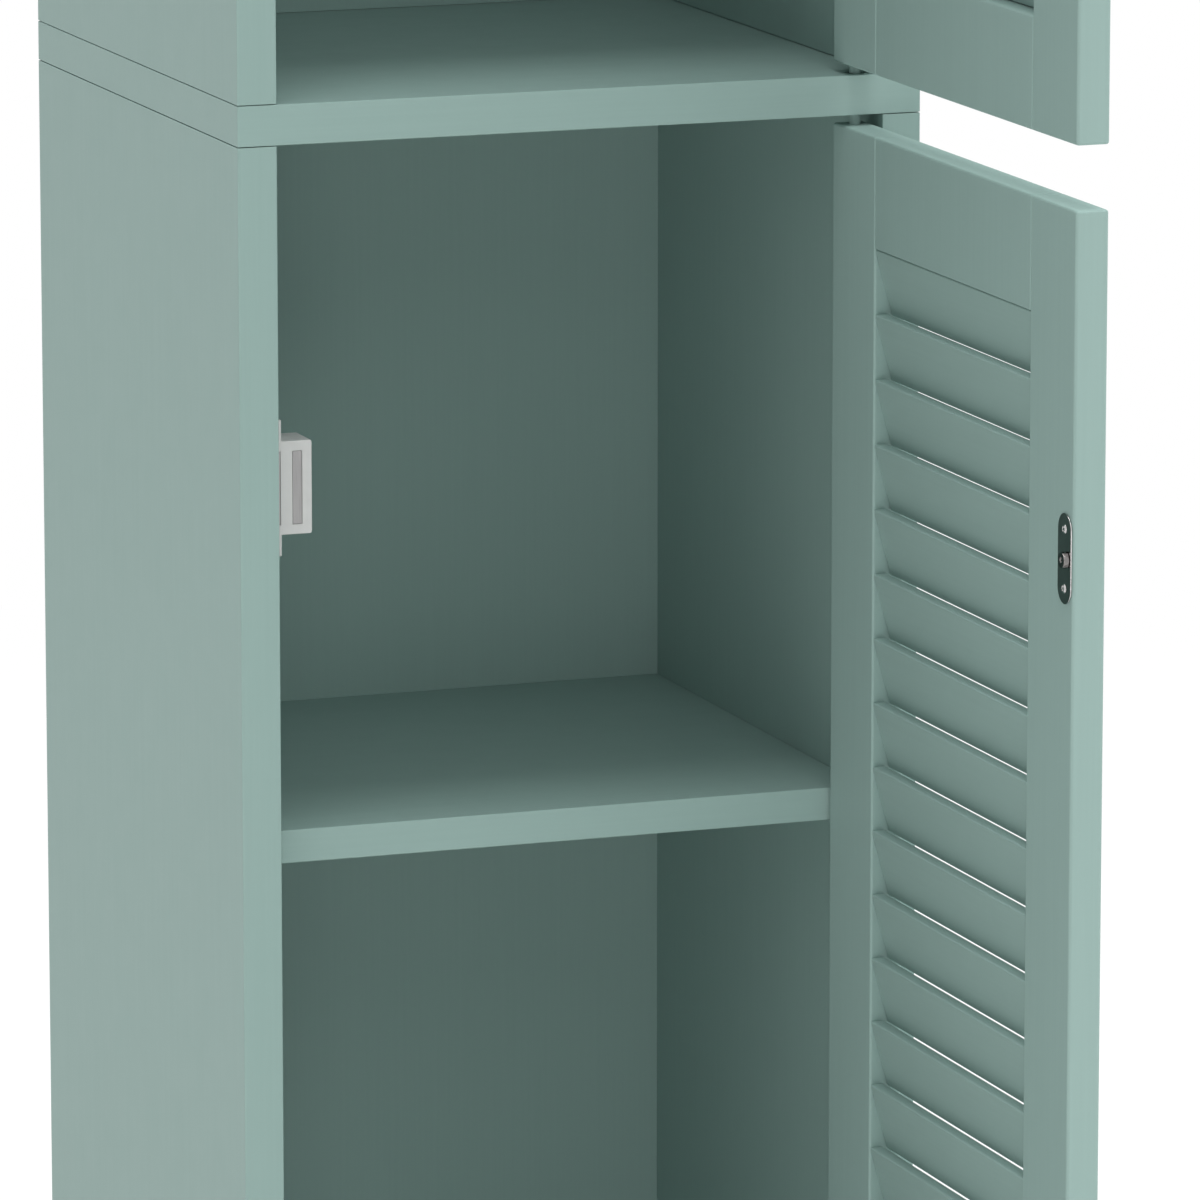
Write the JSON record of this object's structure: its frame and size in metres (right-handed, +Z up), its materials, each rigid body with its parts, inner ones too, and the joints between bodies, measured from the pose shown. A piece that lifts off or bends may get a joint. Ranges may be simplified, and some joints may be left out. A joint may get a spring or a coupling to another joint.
{
  "type": "louvred door cabinet",
  "caption": "Tall narrow cabinet in painted board: stacked shelved bays, each closed by a louvred door that turns on pins at its right edge and is held by a magnetic catch.",
  "frame": {"origin": "on the floor, at the middle of the box of the whole part with both doors standing open at a right angle", "axes": "+Z up, +X to the right of someone who faces the cabinet, +Y towards its back; the doors open towards -Y"},
  "size_m": [0.32, 0.563, 1.4],
  "materials": {
    "painted_board": "sage green satin paint",
    "painted_pin": "sage green satin paint",
    "bush_plastic": "off-white moulded",
    "catch_plastic": "white moulded",
    "pole_steel": "dull plated",
    "magnet": "dull dark ferrite",
    "strike_steel": "bright plated"
  },
  "bodies": {
    "carcass": {"toe_board": "painted_board", "base_board": "painted_board", "mid_board": "painted_board", "top_board": "painted_board", "lower_side_left": "painted_board", "lower_side_right": "painted_board", "lower_back_panel": "painted_board", "lower_shelf": "painted_board", "upper_side_left": "painted_board", "upper_side_right": "painted_board", "upper_back_panel": "painted_board", "upper_shelf": "painted_board", "lower_catch_housing": "catch_plastic", "lower_catch_pole_wall_side": "pole_steel", "lower_catch_pole_room_side": "pole_steel", "lower_catch_magnet": "magnet", "upper_catch_housing": "catch_plastic", "upper_catch_pole_wall_side": "pole_steel", "upper_catch_pole_room_side": "pole_steel", "upper_catch_magnet": "magnet", "lower_door_bottom_bush": "bush_plastic", "lower_door_top_bush": "bush_plastic", "upper_door_bottom_bush": "bush_plastic", "upper_door_top_bush": "bush_plastic"},
    "lower_door": {"lower_door_hinge_stile": "painted_board", "lower_door_free_stile": "painted_board", "lower_door_bottom_rail": "painted_board", "lower_door_top_rail": "painted_board", "lower_slat_01": "painted_board", "lower_slat_02": "painted_board", "lower_slat_03": "painted_board", "lower_slat_04": "painted_board", "lower_slat_05": "painted_board", "lower_slat_06": "painted_board", "lower_slat_07": "painted_board", "lower_slat_08": "painted_board", "lower_slat_09": "painted_board", "lower_slat_10": "painted_board", "lower_slat_11": "painted_board", "lower_slat_12": "painted_board", "lower_slat_13": "painted_board", "lower_slat_14": "painted_board", "lower_slat_15": "painted_board", "lower_slat_16": "painted_board", "lower_slat_17": "painted_board", "lower_slat_18": "painted_board", "lower_door_bottom_pin": "painted_pin", "lower_door_top_pin": "painted_pin", "lower_strike_plate": "strike_steel", "lower_strike_stud": "strike_steel"},
    "upper_door": {"upper_door_hinge_stile": "painted_board", "upper_door_free_stile": "painted_board", "upper_door_bottom_rail": "painted_board", "upper_door_top_rail": "painted_board", "upper_louvre_bank": "painted_board", "upper_door_bottom_pin": "painted_pin", "upper_door_top_pin": "painted_pin", "upper_strike_plate": "strike_steel", "upper_strike_stud": "strike_steel"}
  },
  "joints": [
    {"name": "lower_door_swing", "type": "hinge", "parent": "carcass", "child": "lower_door", "pos_m": [0.1315, -0.011, 0.0947], "axis": [0, 0, 1], "range_deg": [-90, 15]},
    {"name": "upper_door_swing", "type": "hinge", "parent": "carcass", "child": "upper_door", "pos_m": [0.1315, -0.011, 0.7497], "axis": [0, 0, 1], "range_deg": [-90, 15]}
  ]
}
